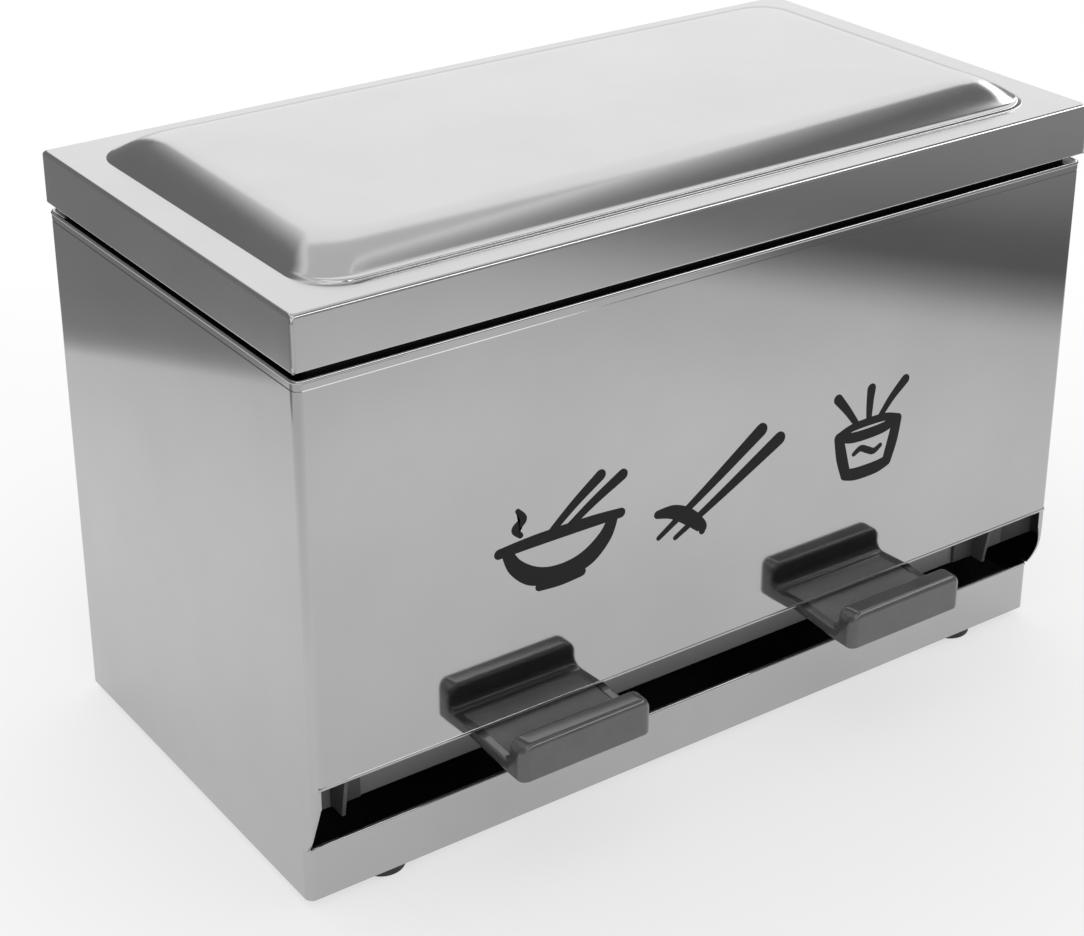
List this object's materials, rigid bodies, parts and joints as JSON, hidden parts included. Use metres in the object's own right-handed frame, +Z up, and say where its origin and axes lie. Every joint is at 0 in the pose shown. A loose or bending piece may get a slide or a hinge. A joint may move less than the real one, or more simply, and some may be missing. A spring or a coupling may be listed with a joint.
{
  "type": "chopstick holder with flip lid",
  "caption": "Steel countertop chopstick box with a hinged lid, a sloping hopper and sprung press levers that let out one pair at a time.",
  "frame": {"origin": "on the standing surface, under the middle of the whole outline, levers and hinge knuckles included", "axes": "+Z up, +X to the right as seen from the front, front panel faces -Y"},
  "size_m": [0.279, 0.1738, 0.1905],
  "materials": {
    "polished_steel": "polished with fine vertical grain",
    "lid_steel": "satin, pressed",
    "sheet_steel": "mill finish sheet",
    "hinge_steel": "stamped, tumbled",
    "pin_steel": "drawn wire, bright",
    "rivet_steel": "satin",
    "clip_steel": "black oxide",
    "spring_steel": "spring wire",
    "lever_plastic": "moulded, fine satin",
    "foot_rubber": "matt"
  },
  "bodies": {
    "body": {"body_shell": "polished_steel", "back_panel": "sheet_steel", "base_pan": "sheet_steel", "neck_frame": "sheet_steel", "hopper_floor": "sheet_steel", "hinge_body_leaf_left": "hinge_steel", "hinge_body_leaf_right": "hinge_steel", "hinge_pin_left": "pin_steel", "hinge_pin_right": "pin_steel", "body_rivets": "rivet_steel", "pivot_rod": "pin_steel", "rod_bracket_left": "hinge_steel", "rod_bracket_right": "hinge_steel", "rod_clips": "clip_steel", "return_spring_left": "spring_steel", "return_spring_right": "spring_steel", "foot_front_left": "foot_rubber", "foot_front_right": "foot_rubber", "foot_back_left": "foot_rubber", "foot_back_right": "foot_rubber", "foot_screws": "clip_steel", "foot_washers": "pin_steel"},
    "lid": {"lid": "lid_steel", "hinge_lid_leaf_left": "hinge_steel", "hinge_lid_leaf_right": "hinge_steel", "lid_rivets": "rivet_steel"},
    "lever_left": {"press_lever_left": "lever_plastic"},
    "lever_right": {"press_lever_right": "lever_plastic"}
  },
  "joints": [
    {"name": "lid_hinge", "type": "hinge", "parent": "body", "child": "lid", "pos_m": [0, 0.0844, 0.1658], "axis": [-1, 0, 0], "range_deg": [0, 110]},
    {"name": "press_left", "type": "hinge", "parent": "body", "child": "lever_left", "pos_m": [-0.064, -0.0514, 0.0362], "axis": [1, 0, 0], "range_deg": [0, 30], "stiffness_Nm_per_rad": 0.1, "springref_deg": -17.19, "deforming": ["return_spring_left"]},
    {"name": "press_right", "type": "hinge", "parent": "body", "child": "lever_right", "pos_m": [0.056, -0.0514, 0.0362], "axis": [1, 0, 0], "range_deg": [0, 30], "stiffness_Nm_per_rad": 0.1, "springref_deg": -17.19, "deforming": ["return_spring_right"]}
  ]
}
